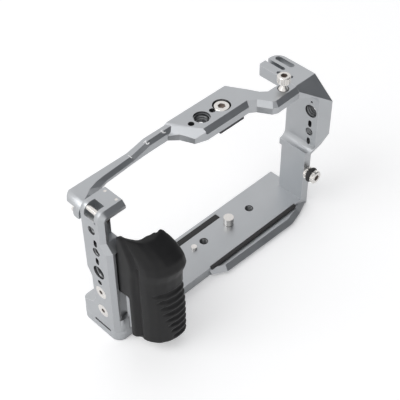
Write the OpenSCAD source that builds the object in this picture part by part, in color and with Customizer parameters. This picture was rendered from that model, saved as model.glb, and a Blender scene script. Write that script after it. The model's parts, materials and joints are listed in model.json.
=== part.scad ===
// Camera cage: a base plate, a side plate, a top rail and a side arm bolted round a camera,
// with a silicone hand grip, a shoe block and three screws that are turned by hand or by key.
// X runs from the grip side to the arm side, Y from the front to the back, and Z up.
// The origin is the middle of the cage's footprint, on the surface that it stands on.

/* [Overall] */
// Reach from the front of the hand grip to the back of the top rail
reach_d = 60.5; // [58:0.5:72]

/* [Camera bay] */
// Clear width between the side plate and the side arm
bay_w = 134.5; // [122:0.5:150]
// Clear height between the base plate and the top rail
bay_h = 80.5; // [76:0.5:92]
// Depth from the camera's front to the back of the rail
bay_d = 35.5; // [34.5:0.5:40]
// Distance from the side arm to the lens axis, where the camera screw and the shoe block sit
lens_off = 40.9; // [38:0.1:44]

/* [Base plate] */
// Thickness of the base plate
base_t = 6.4; // [6:0.1:8]
// Depth of the base plate without its front lip
base_d = 30.4; // [29:0.1:33]
// How far the front lip stands out
lip_out = 7.6; // [6:0.1:9]
// Height of the lip's top face
lip_t = 4.7; // [4.2:0.1:5.2]
// Bevel of the plate's lower clamp edges
clamp_bevel = 1.8; // [1.2:0.1:2.2]

/* [Side plate] */
// Thickness of the side plate's thick parts
side_t = 9.8; // [9.2:0.1:12]
// Thickness of the side plate's web
web_t = 4; // [3.5:0.1:4.6]
// Depth of the side plate at the top
side_d = 15.4; // [15:0.1:18]
// Distance from the side plate's back edge to the back of the rail
side_set = 14.5; // [13.5:0.1:17]
// How far the web's lower half stands forward of its upper half
web_step = 4.3; // [3:0.1:4.6]
// Width of the bevel along the web's outer front edge
web_bevel = 2.5; // [1:0.1:3]
// Width of the corner block that bends over the camera
corner_w = 16.7; // [15.6:0.1:18]
// Outer radius of the bends at the cage's upper corners
bend_r = 5; // [4.8:0.1:6]
// Diameter of the strap bar in the corner window
bar_dia = 3; // [2.4:0.1:3.2]

/* [Top rail] */
// Thickness of the top rail's centre plate
rail_t = 7.1; // [6.8:0.1:9]
// How far the rail's low left strip lies below its centre plate
strip_drop = 3.5; // [2.5:0.1:3.6]
// Depth of the rail from its front point to its back
plate_d = 31.8; // [31:0.1:34]
// Width of the bevel along the rail's front edges
rail_bevel = 2.5; // [1.5:0.1:3]

/* [Side arm] */
// Width of the side arm
arm_w = 16.5; // [15.5:0.1:19]
// Thickness of the arm's outer wall
arm_wall = 6.4; // [5.8:0.1:7]
// How far the arm's nose stands in front of the camera
nose_out = 7.1; // [6:0.1:7.5]
// Width of the lower bar
bar_w = 5.7; // [5.4:0.1:6.2]
// Gap between the camera and the lower bar
bar_gap = 5.5; // [4.6:0.1:6]

/* [Threads and holes] */
// Bore of a small tripod thread
quarter_bore = 5.3; // [5:0.05:5.5]
// Bore of a large tripod thread
large_bore = 8.4; // [8:0.05:8.6]
// Diameter of a locating pin hole
pin_bore = 3.6; // [3:0.1:3.8]
// Diameter of a medium screw's shank
m4_dia = 4; // [3.6:0.05:4.1]
// Diameter of a small screw's shank
m3_dia = 2.6; // [2.4:0.05:2.8]
// Diameter of the camera screw's shank
camera_screw_dia = 6.2; // [5.8:0.05:6.35]

/* [Hand grip] */
// Width of the hand grip at its foot
grip_w = 28.3; // [27:0.1:32]

/* [Screws] */
// Diameter of the upper hand screw's head
top_head_dia = 7.7; // [7:0.1:9]
// How far the upper hand screw stands above the rail
top_screw_h = 9; // [8.5:0.1:11]
// Diameter of the lower hand screw's head
side_head_dia = 8.4; // [7.6:0.1:9]
// How far the lower hand screw stands in front of the bar
side_screw_out = 8; // [7.6:0.1:9]

/* [Hidden] */
$fn = 48;

// How far a cut runs past the face that it starts from
over = 1;
// Gap round a shank, all the way round
shank_gap = 0.05;
// Gap between two pieces that slide together when they are assembled
slip_gap = 0.1;
// Gap round a soft piece
soft_gap = 0.3;
// Break of a machined edge
edge = 0.5;

// Planes of the cage
cage_w = side_t + bay_w + arm_w;
left_x = -cage_w / 2;
right_x = cage_w / 2;
bay_left = left_x + side_t;
bay_right = bay_left + bay_w;
back_y = reach_d / 2;
front_y = back_y - bay_d;
bay_top = base_t + bay_h;
rail_top = bay_top + rail_t;
lens_x = bay_right - lens_off;
lug_share = 0.4;
lug_h = bay_h * lug_share;
grip_top_share = 0.9516;
grip_top = bay_h * grip_top_share;

// Direction of the edge from a to b
function along(a, b) = (b - a) / norm(b - a);
// Edge from a to b, moved to its left by d
function moved(a, b, d) =
    let (aside = d * [-along(a, b).y, along(a, b).x])
    [a + aside, b + aside];
// Crossing of the lines through the point pairs p and q, or q's first point where they run alike
function crossing(p, q) =
    let (u = p[1] - p[0], v = q[1] - q[0], w = q[0] - p[0], area = u.x * v.y - u.y * v.x)
    abs(area) < norm(u) * norm(v) * alike_share ? q[0] : p[0] + u * (w.x * v.y - w.y * v.x) / area;
alike_share = 0.001;
// Counter-clockwise outline with the edge after point i moved inwards by shift[i]
function inset(pts, shift) =
    let (n = len(pts))
    [for (i = [0 : n - 1])
        let (before = (i + n - 1) % n)
        crossing(moved(pts[before], pts[i], shift[before]), moved(pts[i], pts[(i + 1) % n], shift[i]))];
// Outline points at one height
function at_z(pts, z) = [for (p = pts) [p.x, p.y, z]];
// Outline points in Y and Z at one place along X
function at_x(pts, x) = [for (p = pts) [x, p.x, p.y]];
// Height in the bay, from a share of it
function bay_z(share) = base_t + bay_h * share;
// Place along the bay, from a share of its width counted from the arm
function bay_x(share) = bay_right - bay_w * share;

// Solid through rings of as many points each, counter-clockwise as seen from the last ring
module ring_solid(rings) {
    n = len(rings[0]);
    last = len(rings) - 1;
    polyhedron(
        points = [for (ring = rings) for (p = ring) p],
        faces = concat(
            [[for (i = [0 : n - 1]) i]],
            [[for (i = [n - 1 : -1 : 0]) last * n + i]],
            [for (j = [0 : last - 1]) for (i = [0 : n - 1])
                let (next = (i + 1) % n)
                [j * n + i, (j + 1) * n + i, (j + 1) * n + next, j * n + next]]),
        convexity = 6);
}

// Outline in Y and Z, extruded along X
module prism_x(x0, x1) {
    translate([x0, 0, 0])
        rotate([90, 0, 90])
            linear_extrude(x1 - x0) children();
}

// Outline in X and Z, extruded along Y
module prism_y(y0, y1) {
    translate([0, y1, 0])
        rotate([90, 0, 0])
            linear_extrude(y1 - y0) children();
}

// Outline in X and Y, extruded along Z
module prism_z(z0, z1) {
    translate([0, 0, z0])
        linear_extrude(z1 - z0) children();
}

// Box between its lowest and its highest corner
module box(low, high) {
    translate(low) cube(high - low);
}

// Rectangle between its lowest and its highest corner
module rect(low, high) {
    translate(low) square(high - low);
}

// Waste outside a round corner: way points from the square corner p into the piece
module corner_waste(p, way, r) {
    translate(p)
        difference() {
            translate(way * (r - over) / 2) square(r + over, center = true);
            translate(way * r) circle(r);
        }
}

// Round bar or hole along X
module round_x(x0, x1, y, z, d) {
    translate([x0, y, z]) rotate([0, 90, 0]) cylinder(h = x1 - x0, d = d);
}

// Round bar or hole along Y
module round_y(y0, y1, x, z, d) {
    translate([x, y0, z]) rotate([-90, 0, 0]) cylinder(h = y1 - y0, d = d);
}

// Round bar or hole along Z
module round_z(z0, z1, x, y, d) {
    translate([x, y, z0]) cylinder(h = z1 - z0, d = d);
}

// Upright slot with round ends through a wall along X, w wide and h high
module pill_x(x0, x1, y, z, w, h) {
    prism_x(x0, x1) {
        translate([y, z]) square([w, h - w], center = true);
        for (s = [-1, 1]) translate([y, z + s * (h - w) / 2]) circle(d = w);
    }
}

// Slot with round ends along Y, from y0 to y1 and w wide
module slot_y(x, y0, y1, w, z0, z1) {
    prism_z(z0, z1) {
        translate([x, (y0 + y1) / 2]) square([w, y1 - y0 - w], center = true);
        for (y = [y0 + w / 2, y1 - w / 2]) translate([x, y]) circle(d = w);
    }
}

// Hexagonal socket, cut from z 0 down to a share of the head's height
module socket_cut(flats, head_h) {
    translate([0, 0, -head_h * socket_share])
        cylinder(h = head_h * socket_share + over, d = flats / cos(30), $fn = 6);
}
socket_share = 0.6;

// Countersunk screw with its face at z 0 and its shank downwards
module sunk_screw(head_d, head_h, shank_d, length, socket) {
    difference() {
        union() {
            translate([0, 0, -head_h]) cylinder(h = head_h, d1 = shank_d, d2 = head_d);
            translate([0, 0, -length]) cylinder(h = length - head_h / 2, d = shank_d);
        }
        socket_cut(socket, head_h);
    }
}

// Screw with a straight head, its face at z 0 and its shank downwards
module cap_screw(head_d, head_h, shank_d, length, socket) {
    difference() {
        union() {
            translate([0, 0, -head_h]) cylinder(h = head_h - edge, d = head_d);
            translate([0, 0, -edge]) cylinder(h = edge, d1 = head_d, d2 = head_d - 2 * edge);
            translate([0, 0, -length]) cylinder(h = length - head_h / 2, d = shank_d);
        }
        socket_cut(socket, head_h);
    }
}

// Knurled barrel from z 0 to h with n grooves along it
module knurled(d, h, n) {
    difference() {
        union() {
            translate([0, 0, edge]) cylinder(h = h - 2 * edge, d = d);
            cylinder(h = edge, d1 = d - 2 * edge, d2 = d);
            translate([0, 0, h - edge]) cylinder(h = edge, d1 = d, d2 = d - 2 * edge);
        }
        for (i = [1 : n])
            rotate(360 * i / n)
                translate([d / 2, 0, -over]) cylinder(h = h + 2 * over, d = knurl_dia, $fn = 8);
    }
}
knurl_dia = 0.7;

// Side plate planes
side_back = back_y - side_set;
side_front = side_back - side_d;
side_low_front = side_front - web_step;
web_x = left_x + web_t;

base_setback = 0.6;
// Base plate: the floor of the cage, with clamp edges, a lug for the side plate and a lip
base_front = front_y + base_setback;
base_back = base_front + base_d;
bar_left = bay_right + bar_gap;
bar_right = bar_left + bar_w;
foot_r = 5.5;
foot_back_r = 4.5;
inner_foot_r = 2;
// Lip outline, as shares of the bay's width from the arm and of how far the lip stands out
lip_shares = [[0.551, -0.8], [0.551, 0.24], [0.49, 0.86], [0.08, 1], [0.004, 0.62], [-0.072, 0.06],
    [-0.072, -0.8]];
lug_back_set = 3.2;
lug_d = 11;
lug_front = side_back - lug_back_set - lug_d;
lug_back = side_back - lug_back_set;
strap_slot_l = 13;
strap_slot_h = 1.6;
strap_slot_in = 3.8;
strap_slot_set = 1;
strap_slot_back = side_back - strap_slot_set;
camera_share = 0.572;
camera_y = base_front + base_d * camera_share;
camera_head_dia = 13;
camera_head_h = 2.4;
camera_sink = 3.4;
washer_t = 0.6;
camera_stud = 5.2;
lower_quarter_shares = [0.17, 0.46];
lower_large_share = 0.62;
m3_head_dia = 4.6;
m3_head_h = 2.4;
m3_socket = 2;
m4_head_dia = 8;
m4_head_h = 2.3;
m4_socket = 2.5;
foot_screw_len = 9;
foot_screw_back_in = 5;
foot_screw_front_in = 3.4;
foot_screw_side_in = 3.6;
foot_screw_back = base_back - foot_screw_back_in;
foot_screw_front = base_front + foot_screw_front_in;
foot_screw_x = bay_left - foot_screw_side_in;
arm_foot_len = 12;
arm_foot_in = 4;
pad_sink = 0.9;
pad_stand = 0.2;
strip_front_share = 0.19;
strip_back_share = 0.1;
floor_pad_w = 40;
floor_pad_d = 4;
floor_pad_gap = 3;
floor_mid_share = 0.613;
pin_x_share = 0.52;
pin_dia = 3.5;
pin_out = 1.6;
pin_in = 3;

function lip_outline() = [for (s = lip_shares) [bay_x(s.x), base_front - lip_out * s.y]];
function lip_shift(d) = [0, d, d, d, d, 0, 0];

module strip_space(stand) {
    box([bay_x(lip_shares[0].x) + edge, base_front - lip_out * strip_front_share, base_t - pad_sink - edge],
        [bay_right - edge, base_front + lip_out * strip_back_share, base_t + stand]);
}

module floor_pad_space(stand) {
    for (x = [-floor_pad_w - floor_pad_gap / 2, floor_pad_gap / 2])
        translate([bay_x(floor_mid_share) + x, base_back - floor_pad_d * 3 / 2, base_t - pad_sink])
            box([0, 0, 0], [floor_pad_w, floor_pad_d, pad_sink + stand]);
}

module lug() {
    box([web_x, lug_front, base_t - over], [bay_left - edge, lug_back, base_t + lug_h]);
}

module base_plate() {
    lip = lip_outline();
    color("silver") difference() {
        union() {
            prism_z(0, base_t)
                difference() {
                    rect([left_x, base_front], [bar_right, base_back]);
                    corner_waste([left_x, base_front], [1, 1], foot_r);
                    corner_waste([left_x, base_back], [1, -1], foot_back_r);
                }
            ring_solid([at_z(inset(lip, lip_shift(clamp_bevel)), 0), at_z(lip, clamp_bevel),
                at_z(inset(lip, lip_shift(lip_t - clamp_bevel)), lip_t)]);
            lug();
        }
        // clamp bevel along the back
        prism_x(left_x - over, bar_right + over)
            polygon([[base_back - clamp_bevel - over, -over], [base_back + over, -over],
                [base_back + over, clamp_bevel + over]]);
        // strap slot in the seam
        box([left_x - over, strap_slot_back - strap_slot_l, base_t - strap_slot_h],
            [left_x + strap_slot_in, strap_slot_back, base_t + over]);
        // seats of the rubber pads
        strip_space(over);
        floor_pad_space(over);
        // camera screw, with room for its head and washer
        round_z(-over, base_t + over, lens_x, camera_y, camera_screw_dia + 2 * shank_gap);
        round_z(-over, camera_sink, lens_x, camera_y, camera_head_dia + edge);
        // tripod threads
        for (s = lower_quarter_shares) round_z(-over, base_t + over, bay_x(s), camera_y, quarter_bore);
        round_z(-over, base_t + over, bay_x(lower_large_share), camera_y, large_bore);
        // locating pin
        round_z(base_t - pin_in, base_t + over, bay_x(pin_x_share), camera_y, pin_dia + 2 * shank_gap);
        // foot screws of the side plate and the arm
        at_foot_screws() screw_hole(m3_dia, base_t, m3_head_dia, m3_head_h + edge);
        at_arm_screws() screw_hole(m3_dia, base_t, m3_head_dia, m3_head_h + edge);
        // screws through the side plate into the lug
        for (z = plate_screw_z) round_x(web_x - over, bay_left, plate_screw_y, z, m4_dia + 2 * shank_gap);
    }
}

// Through hole from below, with a counterbore for the head
module screw_hole(d, h, head_d, sink) {
    round_z(-over, h + over, 0, 0, d + 2 * shank_gap);
    round_z(-over, sink, 0, 0, head_d + edge);
}

module at_foot_screws() {
    for (y = [foot_screw_front, foot_screw_back]) translate([foot_screw_x, y, 0]) children();
}

module at_arm_screws() {
    for (y = [base_front + arm_foot_in, base_front + arm_base_d - arm_foot_in])
        translate([(bar_left + bar_right) / 2, y, 0]) children();
}

// Side plate: a web with a thick block and a corner block above, and a thick foot below
web_step_top_share = 0.846;
web_step_low_share = 0.786;
block_low_share = 0.778;
notch_top_share = 0.52;
notch_in_share = 0.45;
notch_low_share = 0.22;
flare_top_share = 0.171;
flare_low_share = 0.098;
foot_top_share = 0.124;
inner_top_share = 0.368;
notch_in = 3.1;
flare_in = 1.6;
foot_back_set = 0.4;
foot_back = base_back - foot_back_set;
pocket_in = 4.65;
pocket_floor = side_front + pocket_in;
corner_t = 4.4;
pocket_top = rail_top - corner_t;
window_back_in = 2.9;
window_d = 7.5;
window_front = side_back - window_back_in - window_d;
window_back = side_back - window_back_in;
window_w = 7.4;
window_h = 6.1;
window_right = left_x + window_w;
window_low = rail_top - window_h;
strap_bar_in = 2.9;
strap_bar_drop = 2.6;
strap_bar_x = left_x + strap_bar_in;
strap_bar_z = rail_top - strap_bar_drop;
boss_in = 1.4;
boss_h = 6;
end_gap = 1.8;
end_lug_h = 5.9;
end_lug_d = 4.5;
pocket_screw_in = 2.6;
pocket_screw_drop = 1.8;
pocket_screw_x = bay_left - pocket_screw_in;
pocket_screw_z = bay_top - pocket_screw_drop;
end_screw_side_in = 2.8;
end_screw_drop = 3.4;
end_screw_x = left_x + end_screw_side_in;
end_screw_z = bay_top - end_screw_drop;
end_screw_in = 3.6;
corner_pin_dia = 1.7;
corner_pin_in = 1.2;
corner_pin_front_in = 4.4;
corner_pin_back_in = 2.4;
corner_pin_y = [side_front + corner_pin_front_in, side_back - corner_pin_back_in];
corner_pad_w = 4.4;
plate_screw_in = 9.2;
plate_screw_y = side_back - plate_screw_in;
plate_screw_shares = [0.153, 0.342];
plate_screw_z = [for (share = plate_screw_shares) bay_z(share)];
plate_screw_len = 9.2;
pill_w = 2.5;
pill_h = 4.8;
tiny_bore = 1.5;
// Holes in the web: distances from its back edge, and heights as shares of the bay's height
tiny_hole_in = 10.8;
tiny_hole_share = 1.004;
upper_quarter_in = 7.4;
upper_quarter_share = 0.915;
pill_in = 9.3;
upper_pill_share = 0.811;
middle_pill_share = 0.647;
middle_quarter_in = 9.4;
middle_quarter_share = 0.735;
large_hole_in = 9.5;
large_hole_share = 0.542;
pin_hole_in = 9.3;
pin_hole_share = 0.442;
carrier_boss_in = 3.4;
carrier_boss_y = side_back - carrier_boss_in;
carrier_boss_shares = [0.6, 0.718];

module web() {
    step_top = bay_z(web_step_top_share);
    step_low = bay_z(web_step_low_share);
    slant = atan2(step_top - step_low, web_step);
    difference() {
        union() {
            prism_z(base_t + over, rail_top) web_section(side_front, side_back);
            intersection() {
                prism_z(base_t + over, step_top) web_section(side_low_front, side_back);
                // bevel along the slanted shoulder
                translate([0, side_low_front, step_low])
                    rotate([slant - 90, 0, 0])
                        prism_z(-rail_top, rail_top) web_section(0, rail_top);
            }
        }
        // rounded notch in the back edge
        prism_x(left_x - over, bay_left)
            polygon([[side_back - notch_in, 0], [side_back - notch_in, bay_z(notch_in_share)],
                [side_back, bay_z(notch_top_share)], [side_back + over, bay_z(notch_top_share)],
                [side_back + over, 0]]);
    }
}

// Section of the web from its front face to its back, bevelled on the outside in front
module web_section(front, back) {
    polygon([[left_x, front + web_bevel], [left_x + web_bevel, front], [web_x, front], [web_x, back],
        [left_x, back]]);
}

bend_z = rail_top - bend_r;
// Waste outside the round bend, with the front bevel running round it
module bend_waste() {
    difference() {
        box([left_x - over, side_front - over, bend_z], [left_x + bend_r, side_back + over,
            rail_top + over]);
        translate([left_x + bend_r, side_front, bend_z])
            rotate([-90, 0, 0])
                rotate_extrude()
                    polygon([[0, -over], [bend_r - web_bevel - over, -over], [bend_r, web_bevel],
                        [bend_r, side_d + 2 * over], [0, side_d + 2 * over]]);
    }
}

module corner_block() {
    prism_x(left_x, left_x + corner_w)
        polygon([[side_front, pocket_top], [side_back, pocket_top], [side_back, rail_top],
            [side_front + web_bevel, rail_top], [side_front, rail_top - web_bevel]]);
}

module thick_block() {
    prism_x(web_x - edge, bay_left)
        polygon([[pocket_floor, bay_z(web_step_top_share)], [side_front, bay_z(web_step_top_share)],
            [side_low_front, bay_z(web_step_low_share)], [side_low_front, bay_z(block_low_share)],
            [side_back, bay_z(block_low_share)],
            [side_back, pocket_top + edge], [pocket_floor, pocket_top + edge]]);
}

module foot() {
    intersection() {
        prism_x(left_x, bay_left)
            polygon([[base_front, base_t], [foot_back, base_t], [foot_back, bay_z(flare_low_share)],
                [side_back - flare_in, bay_z(flare_top_share)], [side_back - notch_in,
                    bay_z(notch_low_share)],
                [side_back - notch_in - over, bay_z(notch_low_share)],
                [side_back - notch_in - over, bay_z(foot_top_share)], [base_front, bay_z(foot_top_share)]]);
        prism_z(base_t, bay_z(notch_low_share))
            difference() {
                rect([left_x, base_front], [bay_left, foot_back]);
                corner_waste([left_x, base_front], [1, 1], foot_r);
                corner_waste([left_x, foot_back], [1, -1], foot_back_r);
                corner_waste([bay_left, base_front], [-1, 1], inner_foot_r);
            }
    }
}

// Hole through the web, in from its back edge by a distance and up by a share of the bay's height
module web_hole(in, share, d) {
    round_x(left_x - over, bay_left + over, side_back - in, bay_z(share), d);
}

module web_pill(share) {
    pill_x(left_x - over, bay_left + over, side_back - pill_in, bay_z(share), pill_w, pill_h);
}

module side_plate() {
    color("silver") difference() {
        union() {
            web();
            corner_block();
            thick_block();
            foot();
            // thick front wall of the foot, beside the lug
            box([web_x - edge, lug_front - front_wall, base_t], [bay_left, lug_front,
                bay_z(inner_top_share)]);
            // boss that the end of the rail is screwed against
            box([left_x + boss_in, side_back - edge, bay_top - boss_h],
                [bay_left - edge, side_back + end_gap, bay_top - edge]);
        }
        // slot for the lug of the base plate
        box([web_x, lug_front - slip_gap, base_t - over], [bay_left + over, lug_back + slip_gap,
            base_t + lug_h + slip_gap]);
        bend_waste();
        // window for a strap, open above and outside
        box([left_x - over, window_front, window_low], [window_right, window_back, rail_top + over]);
        // strap bar, put in from the back
        round_y(side_front + web_bevel, side_back + over, strap_bar_x, strap_bar_z,
            bar_dia + 2 * shank_gap);
        // screws that hold the end of the rail
        round_y(side_low_front, side_back + end_gap + over, pocket_screw_x, pocket_screw_z,
            m3_dia + 2 * shank_gap);
        translate([pocket_screw_x, pocket_floor - over, pocket_screw_z])
            rotate([-90, 0, 0])
                cylinder(h = over + m3_head_h / 2, d = m3_head_dia + edge);
        round_y(side_back - end_screw_in, side_back + end_gap + over, end_screw_x, end_screw_z,
            m3_dia + 2 * shank_gap);
        // pins of the corner pad
        for (y = corner_pin_y) round_z(pocket_top - over, rail_top + over, corner_pin_x, y,
            corner_pin_dia + 2 * shank_gap);
        // threads and pin holes
        web_hole(tiny_hole_in, tiny_hole_share, tiny_bore);
        web_hole(upper_quarter_in, upper_quarter_share, quarter_bore);
        web_pill(upper_pill_share);
        web_hole(middle_quarter_in, middle_quarter_share, quarter_bore);
        web_pill(middle_pill_share);
        web_hole(large_hole_in, large_hole_share, large_bore);
        web_hole(pin_hole_in, pin_hole_share, pin_bore - edge);
        // countersunk screws into the lug
        for (z = plate_screw_z) {
            round_x(left_x - over, web_x + over, plate_screw_y, z, m4_dia + 2 * shank_gap);
            translate([left_x, plate_screw_y, z])
                rotate([0, 90, 0])
                    cylinder(h = m4_head_h, d1 = m4_head_dia + 2 * shank_gap, d2 = m4_dia + 2 * shank_gap);
        }
        // foot screws from below
        at_foot_screws() round_z(base_t - over, foot_screw_len + edge, 0, 0, m3_dia + 2 * shank_gap);
        // grip screws from inside
        for (s = carrier_boss_shares)
            round_x(web_x - grip_screw_in, web_x + over, carrier_boss_y, bay_z(s), m3_dia + 2 * shank_gap);
        // seat of the rubber side pad
        side_pad_space(over);
    }
}
front_wall = 3.6;
corner_pin_in_x = 2.1;
corner_pin_x = left_x + corner_w - corner_pin_in_x;
grip_screw_in = 2.4;

module side_pad_space(stand) {
    box([bay_left - pad_sink, pocket_floor + side_pad_in, bay_z(block_low_share) + side_pad_in],
        [bay_left + stand, side_back - side_pad_in, bay_z(web_step_top_share)]);
}
side_pad_in = 1.6;

// Top rail: a centre plate with a low strip to the left that turns down at its end
strip_z = rail_top - strip_drop;
strip_high_drop = 0.7;
strip_high_z = rail_top - strip_high_drop;
strip_bevel_h = 2;
end_share = (side_set - end_gap) / plate_d;
strip_lean_share = 0.02;
// Sections of the strip: place along the bay, setback of the foot and of the top's front edge as
// shares of the rail's depth, and rise as a share of the ramp
strip_shares = [[1.04, end_share, end_share - strip_lean_share, 0], [1.01, end_share, 0.31, 0],
    [0.981, 0.366, 0.234, 0], [0.936, 0.272, 0.178, 0], [0.899, 0.228, 0.159, 0],
    [0.75, 0.184, 0.121, 0], [0.703, 0.175, 0.114, 0.5],
    [0.661, 0.17, 0.108, 1], [0.535, 0.165, 0.102, 1]];
// Centre plate outline, as shares of the bay's width from the arm and of the rail's depth from the back
rail_shares = [[0.204, 0], [0.568, 0], [0.568, 0.165], [0.532, 0.306], [0.505, 0.557], [0.453, 0.636],
    [0.216, 0.636], [0.19, 0.714], [0.155, 0.956], [0.133, 1], [0, 0.984], [0, 0.7], [0.066, 0.643],
    [0.106, 0.645], [0.132, 0.545], [0.157, 0.344], [0.19, 0.108]];
// Edges of the centre plate that carry the wide front bevel
rail_front_first = 5;
rail_front_last = 9;
rail_bevel_h = 3;
// Top edge of the sloping facet on the plate's left, as shares
facet_front_shares = [0.4587, 0.555];
facet_back_shares = [0.53, 0.052];
facet_w = 7;
facet_h = 4.6;
large_x_share = 0.414;
left_pin_share = 0.473;
right_pin_share = 0.3547;
thread_y_share = 0.324;
large_recess_dia = 9.8;
large_recess_h = 1.2;
pin_sink = 4;
shoe_y_share = 0.337;
shoe_screw_y = back_y - plate_d * shoe_y_share;
shoe_head_dia = 9.4;
shoe_head_h = 2.7;
shoe_socket = 4;
shoe_head_gap = 0.6;
top_screw_in = 6.4;
top_screw_y_share = 0.78;
top_screw_x = bay_right - top_screw_in;
top_screw_y = back_y - plate_d * top_screw_y_share;
ring_dia = 6.6;
ring_h = 1.6;
arm_screw_y_share = 0.92;
arm_screw_y = back_y - plate_d * arm_screw_y_share;
arm_screw_up = 2.6;
arm_screw_z = bay_top + arm_screw_up;
arm_screw_in = 3.7;
dowel_y_share = 0.79;
dowel_y = back_y - plate_d * dowel_y_share;
dowel_dia = 1.6;
dowel_in = 3;

module strip() {
    first = strip_shares[0];
    sections = concat([[(bay_right - left_x) / bay_w, first[1], first[2], 0]], strip_shares);
    ring_solid([for (s = sections)
        let (z = strip_z + (strip_high_z - strip_z) * s[3], foot = back_y - plate_d * s[1],
            top = back_y - plate_d * s[2])
        at_x([[foot, bay_top], [back_y, bay_top], [back_y, z - edge], [back_y - edge, z], [top, z],
            [foot, z - strip_bevel_h]], bay_x(s[0]))]);
}

module centre_plate() {
    outline = [for (s = rail_shares) [bay_x(s.x), back_y - plate_d * s.y]];
    front = [for (i = [rail_front_first : rail_front_last + 1]) outline[i]];
    a = [bay_x(facet_front_shares.x), back_y - plate_d * facet_front_shares.y];
    b = [bay_x(facet_back_shares.x), back_y - plate_d * facet_back_shares.y];
    difference() {
        prism_z(bay_top, rail_top) polygon(outline);
        bevel_waste(front);
        // sloping facet that runs across the left of the plate
        translate([a.x, a.y, rail_top])
            rotate(atan2(b.y - a.y, b.x - a.x))
                prism_x(-facet_w, norm(b - a) + facet_w)
                    polygon([[0, 0], [facet_w, -facet_h], [2 * facet_w, -facet_h], [2 * facet_w,
                        facet_h], [0, facet_h]]);
    }
}

// Waste outside the wide bevel along a run of front edges, extended past both ends
module bevel_waste(run) {
    last = len(run) - 1;
    path = concat([run[0] - over * along(run[0], run[1])], [for (i = [1 : last - 1]) run[i]],
        [run[last] + over * along(run[last - 1], run[last])]);
    out = aside(path, -over);
    in = aside(path, rail_bevel * (1 + over / rail_bevel_h));
    low = rail_top - rail_bevel_h * (1 + over / rail_bevel);
    ring_solid([for (i = [0 : last])
        [[out[i].x, out[i].y, low], [in[i].x, in[i].y, rail_top + over], [out[i].x, out[i].y,
            rail_top + over]]]);
}

// Open run of points moved to its left by d
function aside(pts, d) =
    let (last = len(pts) - 1)
    [for (i = [0 : last])
        i == 0 ? moved(pts[0], pts[1], d)[0] : i == last ? moved(pts[last - 1], pts[last], d)[1]
        : crossing(moved(pts[i - 1], pts[i], d), moved(pts[i], pts[i + 1], d))];

module end_lug() {
    prism_x(left_x, bay_left - slip_gap)
        difference() {
            rect([side_back + end_gap, bay_top - end_lug_h], [side_back + end_gap + end_lug_d,
                strip_z - strip_bevel_h]);
            corner_waste([side_back + end_gap + end_lug_d, bay_top - end_lug_h], [-1, 1], end_lug_r);
            corner_waste([side_back + end_gap, bay_top - end_lug_h], [1, 1], edge);
        }
}
end_lug_r = 1.4;
rail_end_r = 6;
rail_bend_r = 6.6;

module top_rail() {
    color("silver") difference() {
        union() {
            strip();
            centre_plate();
            end_lug();
        }
        // round corners of the left end
        prism_y(side_back, back_y + over) corner_waste([left_x, strip_z], [1, -1], rail_bend_r);
        prism_z(bay_top - over, rail_top) corner_waste([left_x, back_y], [1, -1], rail_end_r);
        // thread on the top and the pin holes beside it
        round_z(bay_top - over, rail_top + over, bay_x(large_x_share), back_y - plate_d * thread_y_share,
            large_bore);
        round_z(rail_top - large_recess_h, rail_top + over, bay_x(large_x_share),
            back_y - plate_d * thread_y_share,
            large_recess_dia);
        for (s = [left_pin_share, right_pin_share])
            round_z(rail_top - pin_sink, rail_top + over, bay_x(s), back_y - plate_d * thread_y_share,
                pin_bore);
        // shoe screw
        round_z(bay_top - over, rail_top + over, lens_x, shoe_screw_y, m4_dia + 2 * shank_gap);
        round_z(rail_top - shoe_head_h - edge, rail_top + over, lens_x, shoe_screw_y,
            shoe_head_dia + 2 * shoe_head_gap);
        // upper hand screw and its ring
        round_z(bay_top - over, rail_top + over, top_screw_x, top_screw_y, m4_dia + 2 * shank_gap);
        round_z(rail_top - ring_h, rail_top + over, top_screw_x, top_screw_y, ring_dia + 2 * shank_gap);
        // screws of the left end
        round_y(side_back, side_back + end_gap + end_lug_d - edge, pocket_screw_x, pocket_screw_z,
            m3_dia + 2 * shank_gap);
        round_y(side_back, back_y, end_screw_x, end_screw_z, m3_dia + 2 * shank_gap);
        // screw and dowel of the arm
        round_x(bay_right - arm_screw_in, bay_right + over, arm_screw_y, arm_screw_z,
            m3_dia + 2 * shank_gap);
        round_x(bay_right - dowel_in, bay_right + over, dowel_y, arm_screw_z, dowel_dia + 2 * shank_gap);
        // seats of the rubber pads under the rail
        rail_pad_space(over);
    }
}

module rail_pad_space(stand) {
    for (share = rail_pad_shares)
        translate([bay_x(share), back_y - rail_pad_back, bay_top])
            box([-rail_pad_w / 2, -rail_pad_d, -stand], [rail_pad_w / 2, 0, pad_sink]);
}
rail_pad_shares = [0.8, 0.47];
rail_pad_w = 9;
rail_pad_d = 3;
rail_pad_back = 1.6;

// Side arm: a faceted nose beside the lens, an open channel for cables and a lower bar
arm_front = front_y - nose_out;
wall_left = right_x - arm_wall;
nose_top_drop = 12;
nose_low_share = 0.641;
wall_low_share = 0.417;
channel_low_share = 0.473;
channel_r = 4.5;
arm_back_r = 6.5;
arm_inner_r = 1.8;
arm_wall_d = 28;
arm_base_d = 18.4;
seam_share = 0.984;
seam_front = back_y - plate_d * seam_share;
strap_side_in = 3.95;
strap_back_in = 2.3;
strap_x = right_x - strap_side_in;
strap_back = back_y - strap_back_in;
strap_l = 13.4;
strap_w = 3.7;
groove_in = 7.05;
groove_x = bay_right + groove_in;
groove_w = 2.5;
groove_l = 13.8;
groove_h = 4;
small_pin_dia = 2.7;
small_pin_h = 5;
nose_hole_in = 2.7;
nose_y = front_y + nose_hole_in;
// Holes in the arm's wall, as shares of the bay's height
arm_tiny_share = 0.907;
arm_large_share = 0.824;
arm_pill_shares = [0.708, 0.546];
arm_quarter_share = 0.634;
side_screw_share = 0.268;
side_screw_z = bay_z(side_screw_share);
side_screw_in = 7;

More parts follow.
